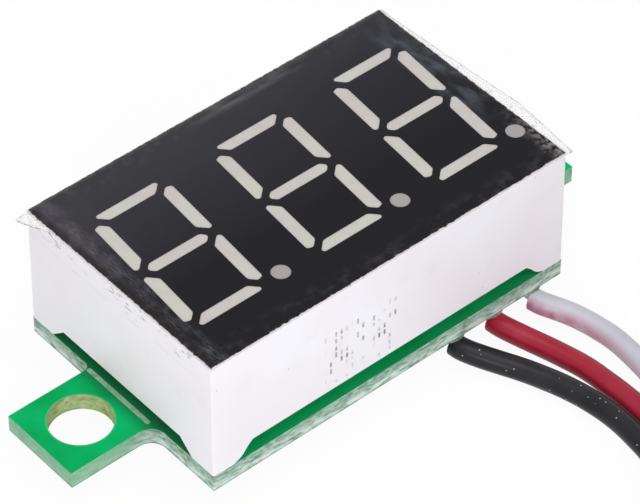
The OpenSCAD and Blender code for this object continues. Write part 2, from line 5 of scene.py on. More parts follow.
import bmesh
import bpy
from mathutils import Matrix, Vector


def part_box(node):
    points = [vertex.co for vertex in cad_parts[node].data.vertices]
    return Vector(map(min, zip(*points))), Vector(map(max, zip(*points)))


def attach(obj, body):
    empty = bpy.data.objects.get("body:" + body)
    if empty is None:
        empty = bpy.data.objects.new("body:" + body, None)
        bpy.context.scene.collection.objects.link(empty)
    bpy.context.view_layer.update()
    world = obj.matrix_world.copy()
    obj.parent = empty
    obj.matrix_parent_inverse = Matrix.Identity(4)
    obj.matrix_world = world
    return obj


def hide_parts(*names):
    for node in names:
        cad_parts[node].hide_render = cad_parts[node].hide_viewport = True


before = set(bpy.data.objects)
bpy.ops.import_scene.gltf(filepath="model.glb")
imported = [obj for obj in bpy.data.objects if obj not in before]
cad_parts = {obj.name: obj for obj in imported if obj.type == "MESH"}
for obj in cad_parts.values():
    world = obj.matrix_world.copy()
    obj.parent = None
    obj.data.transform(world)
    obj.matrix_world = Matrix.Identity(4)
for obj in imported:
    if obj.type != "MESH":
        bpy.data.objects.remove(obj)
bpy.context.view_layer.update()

MM = 0.001
# Points closer together than this are one point
WELD = 0.001 * MM
# How near its level a rim has to lie to be picked
NEAR = 0.01 * MM

# Levels and edges of the object, read from the solids
_, shell_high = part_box("display_housing")
film_low, film_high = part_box("face_film")
board_low, board_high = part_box("main_board")
ear_hole_x = (board_high.x + shell_high.x) / 2
# A decimal point's place from its digit's middle, and from digit to digit, in millimetres
DOT_AT = (2.87, -4.16)
DIGIT_PITCH = 7.5


# ---------------------------------------------------------------- camera and leads

def place_camera():
    """Long lens, well above the meter and round to the left of its front wall."""
    place = (-0.088553, -0.105161, 0.141325)
    back = Vector((-0.4616, -0.5399, 0.7040))
    turned = (-back).to_track_quat("-Z", "Y").to_euler()
    bpy.ops.object.camera_add(location=place, rotation=turned)
    camera = bpy.context.object
    camera.name = "view_from_front_left"
    camera.data.lens = 221.5
    camera.data.sensor_width = 36
    camera.data.clip_start = 0.01
    camera.data.clip_end = 10
    bpy.context.scene.camera = camera


place_camera()

LEAD_WIDTH = 1.2 * MM
# The coil, in millimetres: its middle, the level of a lead on the floor, the rise of each turn
# and the length of a bared tip
COIL_AT = (14, -24)
FLOOR_LEVEL = 0.6
TURN_RISE = 1.3
TIP_LENGTH = 5
KNOTS_PER_TURN = 16
# Middle line of each lead in millimetres, from its cut end to the start of its winding
BLACK_ROUTE = [
    (4.3, -6.8, 1), (4.35, -7.2, 1), (4.7, -7.95, 0.9), (5.3, -8.95, 0.75), (5.9, -10, 0.65),
    (6.4, -11.15, 0.6), (6.8, -12.4, 0.6), (7.1, -13.9, 0.6), (7.2, -15.5, 0.6),
    (7.05, -17.2, 0.6), (6.75, -19, 0.6), (6.45, -20.8, 0.6), (6.3, -22.4, 0.6),
]
RED_ROUTE = [
    (6.84, -6.8, 1), (6.9, -7.3, 1), (7.15, -8, 0.9), (7.5, -8.8, 0.75), (7.85, -9.7, 0.65),
    (8.15, -10.7, 0.6), (8.4, -11.9, 0.6), (8.5, -13.2, 0.6), (8.55, -14.6, 0.6),
    (8.5, -16.1, 0.6), (8.3, -18, 0.6), (7.95, -20, 0.6), (7.6, -22, 0.6),
]
WHITE_ROUTE = [
    (9.38, -7, 1), (9.5, -7.5, 1), (9.85, -8.1, 0.9), (10.25, -8.75, 0.75), (10.55, -9.5, 0.65),
    (10.75, -10.4, 0.6), (10.85, -11.4, 0.6), (10.8, -12.5, 0.6), (10.65, -13.8, 0.6),
    (10.4, -15.3, 0.6), (9.95, -17.2, 0.6), (9.4, -19.2, 0.6), (8.95, -21.4, 0.6),
]
# Of each colour, the route, the radius of the winding in millimetres and its turns
LEADS = {
    "black": (BLACK_ROUTE, 7.75, 2.55),
    "red": (RED_ROUTE, 6.5, 3.05),
    "white": (WHITE_ROUTE, 5.25, 3.8),
}


def winding_point(radius, turn, level):
    """Point on a winding, in millimetres, after that many turns."""
    angle = math.pi + 2 * math.pi * turn
    return (
        COIL_AT[0] + radius * math.cos(angle),
        COIL_AT[1] + radius * math.sin(angle),
        level,
    )


def lead_line(route, radius, turns):
    """The whole middle line of a lead, in millimetres."""
    steps = round(turns * KNOTS_PER_TURN)
    wound = [turns * i / steps for i in range(steps + 1)]
    return route + [
        winding_point(radius, turn, FLOOR_LEVEL + TURN_RISE * turn) for turn in wound]


def smooth_curve(name, points, width, rings=4, sides=6):
    """Round-sectioned curve through points given in millimetres."""
    data = bpy.data.curves.new(name, "CURVE")
    data.dimensions = "3D"
    data.resolution_u = rings
    data.bevel_depth = width / 2
    data.bevel_resolution = sides
    data.use_fill_caps = True
    spline = data.splines.new("BEZIER")
    spline.bezier_points.add(len(points) - 1)
    for knot, point in zip(spline.bezier_points, points):
        knot.co = [c * MM for c in point]
        knot.handle_left_type = knot.handle_right_type = "AUTO"
    curve = bpy.data.objects.new(name, data)
    bpy.context.collection.objects.link(curve)
    return curve


leads = {
    colour: smooth_curve("lead_" + colour + "_insulated", lead_line(*facts), LEAD_WIDTH)
    for colour, facts in LEADS.items()
}


# ---------------------------------------------------------------- working helpers

def only(piece):
    """Makes a piece the one that is selected and active."""
    if bpy.context.object and bpy.context.object.mode != "OBJECT":
        bpy.ops.object.mode_set(mode="OBJECT")
    bpy.ops.object.select_all(action="DESELECT")
    piece.select_set(True)
    bpy.context.view_layer.objects.active = piece


def edit(piece):
    """Opens a piece in edit mode."""
    only(piece)
    bpy.ops.object.mode_set(mode="EDIT")


def pick(piece, kind, test):
    """In edit mode, selects the vertices, edges or faces that pass the test.
    The test gets the part's middle and, for an edge, its direction, or for a face its normal."""
    bpy.ops.mesh.select_mode(type=kind)
    bpy.ops.mesh.select_all(action="DESELECT")
    mesh = bmesh.from_edit_mesh(piece.data)
    mesh.normal_update()
    if kind == "VERT":
        for vertex in mesh.verts:
            vertex.select = test(vertex.co)
    elif kind == "EDGE":
        for edge in mesh.edges:
            a, b = (v.co for v in edge.verts)
            edge.select = test((a + b) / 2, (b - a).normalized())
    else:
        for face in mesh.faces:
            face.select = test(face.calc_center_median(), face.normal)
    mesh.select_flush_mode()
    bmesh.update_edit_mesh(piece.data)


def pick_sharp(degrees):
    """In edit mode, selects the edges whose faces meet at more than that angle."""
    bpy.ops.mesh.select_mode(type="EDGE")
    bpy.ops.mesh.select_all(action="DESELECT")
    bpy.ops.mesh.edges_select_sharp(sharpness=math.radians(degrees))


def upright(middle, direction):
    """Test for edges that stand on end."""
    return abs(direction.z) > 0.9


def underside(middle, normal):
    """Test for faces that look down."""
    return normal.z < -0.9


def settle(piece, name):
    """Leaves edit mode and bakes the piece's place into its mesh."""
    only(piece)
    piece.name = name
    piece.data.name = name
    bpy.ops.object.transform_apply(location=True, rotation=True, scale=True)
    return piece


def block(name, low, high):
    """A cube primitive between two corners, as a start for a piece."""
    bpy.ops.object.select_all(action="DESELECT")
    middle = [(a + b) / 2 for a, b in zip(low, high)]
    bpy.ops.mesh.primitive_cube_add(size=1, location=middle)
    piece = bpy.context.object
    piece.scale = [b - a for a, b in zip(low, high)]
    return settle(piece, name)


def disc(name, radius, depth, sides):
    """A flat cylinder primitive that hangs down from the origin, as a start for a piece."""
    bpy.ops.object.select_all(action="DESELECT")
    bpy.ops.mesh.primitive_cylinder_add(
        vertices=sides, radius=radius, depth=depth, location=(0, 0, -depth / 2))
    return settle(bpy.context.object, name)


def copied_node(node_name, name):
    """Own copy of a CAD node's mesh, merged into one skin, left in edit mode."""
    piece = bpy.data.objects.new(name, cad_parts[node_name].data.copy())
    bpy.context.collection.objects.link(piece)
    piece.data.name = name
    edit(piece)
    bpy.ops.mesh.select_all(action="SELECT")
    bpy.ops.mesh.remove_doubles(threshold=WELD)
    bpy.ops.mesh.dissolve_limited(angle_limit=math.radians(0.5))
    bpy.ops.mesh.customdata_custom_splitnormals_clear()
    return piece


def copied_to(piece, places):
    """Copies a finished piece by each offset in metres, every copy with its own mesh."""
    copies = []
    for place in places:
        copy = piece.copy()
        copy.data = piece.data.copy()
        bpy.context.collection.objects.link(copy)
        copy.location = place
        copies.append(copy)
    bpy.data.objects.remove(piece)
    return copies


def smooth(piece, degrees):
    """Shades a piece smooth, but for edges sharper than that angle."""
    only(piece)
    bpy.ops.object.shade_smooth_by_angle(angle=math.radians(degrees))
    return piece


def joined(pieces, name):
    """Joins finished copies into one piece."""
    only(pieces[0])
    for piece in pieces:
        piece.select_set(True)
    bpy.ops.object.join()
    return settle(bpy.context.object, name)


def stepped(piece, *steps):
    """Draws in the underside of a piece by each step's width and moves it by the step's
    height, both in millimetres."""
    edit(piece)
    pick(piece, "FACE", underside)
    for width, height in steps:
        bpy.ops.mesh.inset(thickness=width * MM)
        bpy.ops.transform.translate(value=(0, 0, height * MM))
    return settle(piece, piece.name)


def rounded_bar(name, low, high, radius, segments):
    """A flat bar of ink between two corners, with rounded upright edges."""
    bar = block(name, low, high)
    edit(bar)
    pick(bar, "EDGE", upright)
    bpy.ops.mesh.bevel(offset=radius, segments=segments, affect="EDGES")
    return settle(bar, name)


def solids_of(node_name):
    """Lowest and highest corner of each separate solid of a CAD node."""
    mesh = bmesh.new()
    mesh.from_mesh(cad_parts[node_name].data)
    bmesh.ops.remove_doubles(mesh, verts=mesh.verts, dist=WELD)
    found, left = [], set(mesh.verts)
    while left:
        heap, solid = [left.pop()], []
        while heap:
            vertex = heap.pop()
            solid.append(vertex.co.copy())
            for edge in vertex.link_edges:
                other = edge.other_vert(vertex)
                if other in left:
                    left.remove(other)
                    heap.append(other)
        low = Vector([min(c[i] for c in solid) for i in range(3)])
        high = Vector([max(c[i] for c in solid) for i in range(3)])
        found.append((low, high))
    mesh.free()
    return sorted(found, key=lambda corners: tuple(corners[0]))


# ---------------------------------------------------------------- material helpers

COLOURS = {"data_type": "RGBA", "out": 2}


def paint(hex_text):
    """A written sRGB colour as the linear one that a shader takes."""
    parts = [int(hex_text[i : i + 2], 16) / 255 for i in (1, 3, 5)]
    return [c / 12.92 if c <= 0.04045 else ((c + 0.055) / 1.055) ** 2.4 for c in parts] + [1]


def per(size_mm):
    """Texture scale at which one cell or wave of a pattern is that many millimetres."""
    return 1000 / size_mm


def add(tree, kind, *inputs, out=0, **settings):
    """Adds a shader node with its settings. Its inputs come in order, or by name in one dict:
    a socket is linked and any other value is set. Gives back one of its outputs."""
    node = tree.nodes.new("ShaderNode" + kind)
    for name, value in settings.items():
        setattr(node, name, value)
    named = inputs[0] if inputs and isinstance(inputs[0], dict) else dict(enumerate(inputs))
    for name, value in named.items():
        if isinstance(value, bpy.types.NodeSocket):
            tree.links.new(value, node.inputs[name])
        else:
            node.inputs[name].default_value = value
    return node.outputs[out]


def finish(name, colour, roughness, **sockets):
    """A material with its shader's plain values set, and the place of a point in the piece,
    for its patterns."""
    material = bpy.data.materials.new(name)
    material.use_nodes = True
    tree = material.node_tree
    surface = tree.nodes["Principled BSDF"]
    surface.inputs["Base Color"].default_value = paint(colour)
    surface.inputs["Roughness"].default_value = roughness
    for socket, value in sockets.items():
        surface.inputs[socket.replace("_", " ")].default_value = value
    return material, tree, surface, add(tree, "TexCoord", out="Object")


def drive(tree, surface, **sockets):
    """Links patterns to the shader's sockets."""
    for socket, pattern in sockets.items():
        tree.links.new(pattern, surface.inputs[socket.replace("_", " ")])


def wear(tree, coordinates, size_mm, low, high, detail=3, stretch=(1, 1, 1)):
    """Noise of a real size in millimetres, spread to 0 to 1 between two of its levels."""
    turned = add(tree, "Mapping", {"Vector": coordinates, "Scale": stretch})
    noise = add(tree, "TexNoise", {"Vector": turned, "Scale": per(size_mm), "Detail": detail})
    return add(tree, "MapRange", noise, low, high)


def grit(tree, coordinates, spacing_mm, radius, share):
    """1 on small round grains: their radius is a share of their spacing, and share says how
    many of the places hold one."""
    cells = add(tree, "TexVoronoi", {"Vector": coordinates, "Scale": per(spacing_mm)}).node.outputs
    chance = add(tree, "SeparateColor", cells["Color"])
    grain = add(tree, "Math", cells["Distance"], radius, operation="LESS_THAN")
    kept = add(tree, "Math", chance, share, operation="LESS_THAN")
    return add(tree, "Math", grain, kept, operation="MULTIPLY")


def band(tree, value, low, high, soft):
    """1 where a value lies between two levels, fading to 0 over a soft edge."""
    rise = add(tree, "MapRange", value, low - soft, low)
    fall = add(tree, "MapRange", value, high + soft, high)
    return add(tree, "Math", rise, fall, operation="MULTIPLY")


def coat(tree, colour, hex_text, amount, *shares):
    """Lays a colour over another one, as thick as the amount and its shares multiplied."""
    for share in shares:
        amount = add(tree, "Math", amount, share, operation="MULTIPLY")
    return add(tree, "Mix", {0: amount, 6: colour, 7: paint(hex_text)}, **COLOURS)


# ---------------------------------------------------------------- materials

def moulded_housing():
    """ABS, injection moulded: a cool white satin skin, with fine eroded grain, rub marks and
    a faint line left on the end wall by the casting frame, and a broken dotted ink print."""
    material, tree, surface, place = finish("white_moulded_abs", "#EEEDF2", 0.45, IOR=1.53)
    x, _, z = add(tree, "SeparateXYZ", place).node.outputs
    nx, ny, _ = add(tree, "SeparateXYZ", add(tree, "TexCoord", out="Normal")).node.outputs
    end_wall = add(tree, "Math", nx, -0.9, operation="LESS_THAN")
    front_wall = add(tree, "Math", ny, -0.9, operation="LESS_THAN")
    # the white drifts from cool to faintly pink over several millimetres
    colour = coat(tree, paint("#EDEDF3"), "#EDE8ED", wear(tree, place, 6, 0.38, 0.62, 2))
    # handling leaves soft grey clouds of a millimetre
    colour = coat(tree, colour, "#D6D2D2", wear(tree, place, 1.4, 0.58, 0.8, 4), 0.25)
    # grains of dirt moulded in, 0.12 mm across
    colour = coat(tree, colour, "#A1948F", grit(tree, place, 1.1, 0.055, 0.35), 0.45)
    # the casting frame's line, 1.4 mm below the face on the end wall
    colour = coat(
        tree, colour, "#BFBABA", band(tree, z, 8.46 * MM, 8.49 * MM, 0.03 * MM),
        wear(tree, place, 1.6, 0.42, 0.6), end_wall, 0.4)
    # dark scratches rubbed into the strip above it
    colour = coat(
        tree, colour, "#A09B9A", wear(tree, place, 0.3, 0.56, 0.66, 8, (1, 0.6, 1.4)),
        wear(tree, place, 1.8, 0.44, 0.6), band(tree, z, 8.9 * MM, 9.8 * MM, 0.3 * MM), end_wall)
    # ink print on the front wall: upright ticks on a 0.34 mm grid, half of them missing
    grid = add(tree, "Mapping", {"Vector": place, "Scale": (per(0.34), 0, per(0.46))})
    chance = add(tree, "TexWhiteNoise", add(tree, "VectorMath", grid, operation="FLOOR"))
    in_cell = add(tree, "VectorMath", grid, operation="FRACTION")
    across, _, up = add(tree, "SeparateXYZ", in_cell).node.outputs
    colour = coat(
        tree, colour, "#514F54",
        band(tree, across, 0.35, 0.55, 0.15), band(tree, up, 0.2, 0.75, 0.15),
        add(tree, "Math", chance, 0.52, operation="GREATER_THAN"),
        band(tree, x, -4.2 * MM, 0.3 * MM, 0.1 * MM), band(tree, z, 3.9 * MM, 7.3 * MM, 0.1 * MM),
        front_wall, wear(tree, place, 0.9, 0.4, 0.6), 0.85)
    # spark-eroded grain, drawn at 0.12 mm so that it shows
    grain = wear(tree, place, 0.12, 0.3, 0.7, 2)
    bump = add(tree, "Bump", {"Height": grain, "Distance": 0.002 * MM, "Strength": 0.35})
    drive(tree, surface, Base_Color=colour, Normal=bump)
    return material


def printed_film():
    """Polyester film printed black: satin, with a painted sheen that grows towards the back left,
    with streaks of grey dust beside a brown left border and a ragged edge that bares the white
    below."""
    material, tree, surface, place = finish(
        "black_printed_film", "#1C1C1F", 0.36, IOR=1.5, Specular_IOR_Level=0.08)
    x, y, _ = add(tree, "SeparateXYZ", place).node.outputs
    # how far a point lies in from each border, and from the nearest one
    from_left = add(tree, "Math", x, film_high.x, operation="ADD")
    from_right = add(tree, "Math", film_high.x, x, operation="SUBTRACT")
    from_front = add(tree, "Math", y, film_high.y, operation="ADD")
    from_back = add(tree, "Math", film_high.y, y, operation="SUBTRACT")
    sides = add(tree, "Math", from_left, from_right, operation="MINIMUM")
    ends = add(tree, "Math", from_front, from_back, operation="MINIMUM")
    inward = add(tree, "Math", sides, ends, operation="MINIMUM")
    # painted sheen: a grey reflection that thins out from the back to the front, and a little from
    # left to right
    colour = coat(
        tree, paint("#1A1A1D"), "#3A3A40", add(tree, "MapRange", from_front, 5 * MM, 12.5 * MM),
        add(tree, "MapRange", wear(tree, place, 5, 0.3, 0.7, 2), 0, 1, 0.85, 1),
        add(tree, "MapRange", x, film_low.x, film_high.x, 1, 0.45))
    # brown and purple cast of the thin ink near the back left corner
    colour = coat(
        tree, colour, "#4A424A", band(tree, from_left, 0, 1.2 * MM, 1.5 * MM),
        band(tree, from_back, 0, 4 * MM, 3 * MM), wear(tree, place, 0.9, 0.42, 0.62, 4), 0.6)
    # the left border itself is browner, where the ink ran thick
    colour = coat(tree, colour, "#292423", band(tree, from_left, 0, 0.2 * MM, 0.3 * MM), 0.75)
    # dust in fine streaks that follow the left border, some tenths in from it
    streaked = 0.6
    for pattern in (
        wear(tree, place, 0.09, 0.36, 0.7, 8, (1, 0.22, 1)),
        wear(tree, place, 0.5, 0.34, 0.62, 6, (1, 0.35, 1)),
        band(tree, from_left, 0.6 * MM, 1 * MM, 0.3 * MM),
    ):
        streaked = add(tree, "Math", pattern, streaked, operation="MULTIPLY")
    colour = coat(tree, colour, "#6E6E75", streaked)
    # one grey streak along the back border, over the middle and last digits
    colour = coat(
        tree, colour, "#68686B", band(tree, from_back, 0.35 * MM, 0.6 * MM, 0.3 * MM),
        band(tree, x, 0.5 * MM, 4 * MM, 2.5 * MM),
        wear(tree, place, 0.35, 0.36, 0.62, 6, (0.2, 1, 1)), 0.6)
    # fainter clouds of dust along the other borders
    colour = coat(
        tree, colour, "#77777C", add(tree, "MapRange", inward, 1.3 * MM, 0.2 * MM),
        wear(tree, place, 0.6, 0.5, 0.75, 6), 0.2)
    # a bluish smear of dust beside the last digit
    colour = coat(
        tree, colour, "#5F636E", band(tree, from_right, 0.5 * MM, 1.5 * MM, 0.5 * MM),
        band(tree, y, -1 * MM, 4.5 * MM, 2 * MM),
        wear(tree, place, 0.7, 0.42, 0.66, 5, (1, 0.45, 1)), 0.6)
    # an olive fringe where the ink thins at the back edge
    colour = coat(
        tree, colour, "#55544E", add(tree, "MapRange", from_back, 0.3 * MM, 0.05 * MM),
        wear(tree, place, 0.4, 0.3, 0.6, 6))
    # lint and grit here and there, 0.05 mm across
    colour = coat(tree, colour, "#8C8A90", grit(tree, place, 1.1, 0.022, 0.15), 0.25)
    # brown-grey scuffs near the front right corner, thickest beside the last decimal point
    colour = coat(
        tree, colour, "#8A8584", add(tree, "MapRange", from_right, 0.9 * MM, 0.1 * MM),
        add(tree, "MapRange", from_front, 4.4 * MM, 1 * MM),
        wear(tree, place, 0.28, 0.42, 0.6, 8))
    # the trimmed edge, frayed by about a tenth: brown first, then the white of the housing
    torn = wear(tree, place, 0.25, 0.3, 0.7, 6)
    for reach, bared in ((0.12 * MM, "#6E6763"), (0.05 * MM, "#D9D5D8")):
        edge = add(tree, "Math", torn, reach, operation="MULTIPLY")
        colour = coat(tree, colour, bared, add(
            tree, "Math", inward, edge, operation="LESS_THAN"))
    # dusty parts shine less, and the sheet waves a little
    dull = add(tree, "MapRange", streaked, 0, 0.4, 0.34, 0.6)
    waves = wear(tree, place, 0.35, 0.3, 0.7, 4)
    bump = add(tree, "Bump", {"Height": waves, "Distance": 0.002 * MM, "Strength": 0.3})
    drive(tree, surface, Base_Color=colour, Roughness=dull, Normal=bump)
    return material


def cast_resin():
    """Epoxy resin filled with a diffuser, cast in the light wells: grey and unlit, slightly
    cloudy, and pinker in some bars than in others."""
    material, tree, surface, place = finish(
        "cast_diffusing_resin", "#B4B1AC", 0.4, IOR=1.5, Specular_IOR_Level=0.25)
    x, y, _ = add(tree, "SeparateXYZ", place).node.outputs
    colour = coat(tree, paint("#C4C3BC"), "#C2BBBA", wear(tree, place, 2.6, 0.4, 0.62))
    colour = coat(tree, colour, "#CCCAC5", wear(tree, place, 0.7, 0.4, 0.75), 0.5)
    # painted shade: the round wells are filled less, and their resin is painted darker for the
    # shade in them
    along = add(tree, "Math", add(tree, "Math", x, DOT_AT[0] * MM, operation="SUBTRACT"),
                -DIGIT_PITCH / 2 * MM, DIGIT_PITCH / 2 * MM, operation="WRAP")
    across = add(tree, "Math", y, DOT_AT[1] * MM, operation="SUBTRACT")
    from_dot = add(tree, "VectorMath", add(tree, "CombineXYZ", along, across, 0),
                   operation="LENGTH", out=1)
    colour = coat(tree, colour, "#979494", add(
        tree, "Math", from_dot, 0.6 * MM, operation="LESS_THAN"), 0.8)
    # white filler grains, drawn at 0.1 mm
    colour = coat(tree, colour, "#DEDCD2", grit(tree, place, 0.7, 0.06, 0.2), 0.5)
    sunk = wear(tree, place, 0.5, 0.3, 0.7)
    bump = add(tree, "Bump", {"Height": sunk, "Distance": 0.003 * MM, "Strength": 0.3})
    drive(tree, surface, Base_Color=colour, Normal=bump)
    return material


def solder_mask_board():
    """FR4 glass laminate under green solder mask: glossy saturated faces with painted shade in the
    gaps under and beside the housing's walls, and sawn edges that show grey-green layers of glass
    cloth, yellower where the ear holes were drilled."""
    material, tree, surface, place = finish(
        "green_masked_fr4", "#0AAE5E", 0.3, IOR=1.5, Specular_IOR_Level=0.04)
    x, y, z = add(tree, "SeparateXYZ", place).node.outputs
    nz = add(tree, "SeparateXYZ", add(tree, "TexCoord", out="Normal"), out=2)
    from_middle = add(tree, "Math", x, operation="ABSOLUTE")
    # mask colour drifts with the thickness of the coat
    green = coat(tree, paint("#06B568"), "#04A055", wear(tree, place, 3, 0.38, 0.64, 3))
    # painted shade: on the display's side the green is darker in the gaps under the long walls,
    # more so towards the right
    painted_shade_under_walls = add(tree, "MapRange", add(tree, "Math", y, operation="ABSOLUTE"),
                shell_high.y - 1 * MM, shell_high.y)
    for share in (
        add(tree, "MapRange", x, -6 * MM, 10 * MM, 0.42, 0.75),
        add(tree, "Math", from_middle, shell_high.x, operation="LESS_THAN"),
    ):
        painted_shade_under_walls = add(tree, "Math", painted_shade_under_walls, share, operation="MULTIPLY")
    # painted shade also close to the end walls
    painted_shade_by_end_walls = band(tree, from_middle, shell_high.x - 0.6 * MM, shell_high.x, 0.9 * MM)
    painted_shade_by_end_walls = add(tree, "Math", painted_shade_by_end_walls, 0.85, operation="MULTIPLY")
    green = coat(
        tree, green, "#1E6840", add(tree, "Math", painted_shade_under_walls, painted_shade_by_end_walls, operation="MAXIMUM"),
        add(tree, "Math", nz, 0.5, operation="GREATER_THAN"))
    # glass cloth seen end on: layers along the saw cut, and yarn bundles that break them
    layers = wear(tree, place, 0.13, 0.4, 0.62, 8, (0.3, 0.3, 1))
    fibre = coat(tree, paint("#6E9280"), "#B6CABF", layers)
    fibre = coat(tree, fibre, "#92C2A4", wear(tree, place, 0.3, 0.42, 0.62, 5), 0.45)
    # burnt and crushed places, darker, a few tenths apart
    burnt = wear(tree, place, 0.3, 0.5, 0.7, 8, (0.6, 0.6, 1.2))
    fibre = coat(tree, fibre, "#667A6B", burnt, 0.8)
    # the mask ran further down the cut ears, and tints them
    on_ear = add(
        tree, "MapRange", from_middle, shell_high.x + 0.4 * MM, shell_high.x + 1.6 * MM)
    fibre = coat(tree, fibre, "#84B994", on_ear, 0.75)
    # frayed glass, nearly white, towards the lower arris
    fibre = coat(
        tree, fibre, "#DCE6E1",
        add(tree, "MapRange", z, board_high.z - 0.3 * MM, board_low.z + 0.3 * MM),
        wear(tree, place, 0.3, 0.4, 0.58, 6, (0.35, 0.35, 1.2)),
        add(tree, "MapRange", on_ear, 0, 1, 0.85, 0.15))
    # a thin dirty line along the lower arris
    fibre = coat(
        tree, fibre, "#6F8079",
        add(tree, "MapRange", z, board_low.z + 0.09 * MM, board_low.z + 0.03 * MM), 0.75)
    # drilled walls of the ear holes
    across = add(tree, "Math", from_middle, ear_hole_x, operation="SUBTRACT")
    reach = add(tree, "VectorMath", add(tree, "CombineXYZ", across, y, 0),
                operation="LENGTH", out=1)
    in_hole = add(tree, "Math", reach, 1.75 * MM, operation="LESS_THAN")
    bored = coat(tree, paint("#8FAF74"), "#C3CC98", wear(
        tree, place, 0.09, 0.35, 0.65, 4, (0.25, 0.25, 1)))
    bored = coat(tree, bored, "#7F7A50", burnt, 0.8)
    fibre = add(tree, "Mix", {0: in_hole, 6: fibre, 7: bored}, **COLOURS)
    flat = add(tree, "Math", add(tree, "Math", nz, operation="ABSOLUTE"), 0.7,
               operation="GREATER_THAN")
    colour = add(tree, "Mix", {0: flat, 6: fibre, 7: green}, **COLOURS)
    gloss = add(tree, "MapRange", flat, 0, 1, 0.75, 0.28)
    # a pale ring on the flat faces round each ear hole
    colour = coat(
        tree, colour, "#8CCB95", band(tree, reach, 1.66 * MM, 1.69 * MM, 0.03 * MM), flat, 0.4)
    # sawn cloth is rough and the mask shows a slight orange peel
    peel = wear(tree, place, 0.6, 0.3, 0.7)
    height = add(tree, "Mix", {0: flat, 2: layers, 3: peel})
    bump = add(tree, "Bump", {"Height": height, "Distance": 0.008 * MM, "Strength": 0.35})
    drive(tree, surface, Base_Color=colour, Roughness=gloss, Normal=bump)
    return material


def masked_copper():
    """Copper traces under the same mask: a lighter, yellower green than the bare laminate."""
    material, tree, surface, place = finish(
        "masked_copper_trace", "#35B567", 0.3, IOR=1.5, Specular_IOR_Level=0.2)
    colour = coat(tree, paint("#3DBB6C"), "#2AA85C", wear(tree, place, 1.2, 0.35, 0.7))
    peel = wear(tree, place, 0.3, 0.3, 0.7)
    bump = add(tree, "Bump", {"Height": peel, "Distance": 0.003 * MM, "Strength": 0.3})
    drive(tree, surface, Base_Color=colour, Normal=bump)
    return material


def silkscreen_ink_with_painted_shade():
    """White epoxy ink, screen printed on the mask: thin enough for the green to show, and painted
    grey-green as the housing's shade dims it.
    """
    material, tree, surface, place = finish(
        "silkscreen_ink_with_painted_shade", "#93BBA0", 0.6, Specular_IOR_Level=0.2)
    thin = wear(tree, place, 0.18, 0.35, 0.68, 4)
    # painted shade: the white ink gets the dim grey-green it has in the housing's shade, greener
    # where it is thinner
    colour = coat(tree, paint("#9CC2A8"), "#76A686", thin)
    bump = add(tree, "Bump", {"Height": thin, "Distance": 0.004 * MM, "Strength": 0.4})
    drive(tree, surface, Base_Color=colour, Normal=bump)
    return material


def lead_insulation(name, dark, light, grit_hex, grit_share, painted_red_reflection=None):
    """PVC, extruded over the strands: a soft waxy sheen, drag lines along the lead, dust that
    clings to it and, on the pale lead, a painted pink reflection of its red neighbour on its lower
    left side near its cut end."""
    material, tree, surface, place = finish(
        "extruded_pvc_" + name, dark, 0.32, IOR=1.5, Specular_IOR_Level=0.25)
    colour = coat(tree, paint(dark), light, wear(tree, place, 1.8, 0.36, 0.66))
    # painted reflection: pink light thrown by the red lead onto the pale lead's lower left side
    if painted_red_reflection:
        y = add(tree, "SeparateXYZ", place, out=1)
        nx, _, nz = add(tree, "SeparateXYZ", add(tree, "TexCoord", out="Normal")).node.outputs
        upper_right = add(tree, "Math", nx, nz, operation="ADD")
        colour = coat(
            tree, colour, painted_red_reflection, add(tree, "MapRange", upper_right, 0.5, -0.8),
            add(tree, "MapRange", y, -14.5 * MM, -8.5 * MM), wear(tree, place, 0.9, 0.2, 0.5, 4))
    colour = coat(tree, colour, grit_hex, grit(tree, place, 0.35, 0.09, grit_share))
    # drag lines of the die, eight round the lead's top half
    lengthwise = add(
        tree, "Mapping", {"Vector": add(tree, "TexCoord", out="UV"), "Scale": (30, 38, 1)})
    lines = add(tree, "TexNoise", {"Vector": lengthwise, "Scale": 1.0, "Detail": 2.0})
    bump = add(tree, "Bump", {"Height": lines, "Distance": 0.004 * MM, "Strength": 0.3})
    drive(tree, surface, Base_Color=colour, Normal=bump)
    return material


def frozen_metal(name, bright, dull, roughness, ripple_mm, depth_mm):
    """Tin or solder: soft bright metal whose skin rippled and greyed as it froze."""
    material, tree, surface, place = finish(name, bright, roughness, Metallic=1.0)
    grey = wear(tree, place, ripple_mm * 2, 0.35, 0.7)
    colour = coat(tree, paint(bright), dull, grey)
    level = add(tree, "MapRange", grey, 0, 1, roughness, roughness + 0.2)
    ripple = wear(tree, place, ripple_mm, 0.3, 0.7)
    bump = add(tree, "Bump", {"Height": ripple, "Distance": depth_mm * MM, "Strength": 0.5})
    drive(tree, surface, Base_Color=colour, Roughness=level, Normal=bump)
    return material


def stamped_brass():
    """Brass stamped from sheet for the rotor: fine lines of rolling and a touch of tarnish."""
    material, tree, surface, place = finish("stamped_brass", "#CDA552", 0.32, Metallic=1.0)
    colour = coat(tree, paint("#CDA552"), "#A8823C", wear(tree, place, 0.7, 0.35, 0.7, 4))
    rolled = wear(tree, place, 0.08, 0.3, 0.7, 3, (0.15, 1, 1))
    bump = add(tree, "Bump", {"Height": rolled, "Distance": 0.003 * MM, "Strength": 0.4})
    drive(tree, surface, Base_Color=colour, Normal=bump)
    return material


def fluxed_strands():
    """Tinned strands under a blob of flux residue: milky and a little green."""
    material, tree, surface, place = finish("fluxed_strands", "#DCE0D8", 0.25, IOR=1.5)
    milky = wear(tree, place, 0.3, 0.35, 0.65, 4)
    colour = coat(tree, paint("#EEF0EC"), "#B9C4B2", milky)
    bump = add(tree, "Bump", {"Height": milky, "Distance": 0.01 * MM, "Strength": 0.5})
    drive(tree, surface, Base_Color=colour, Normal=bump)
    return material


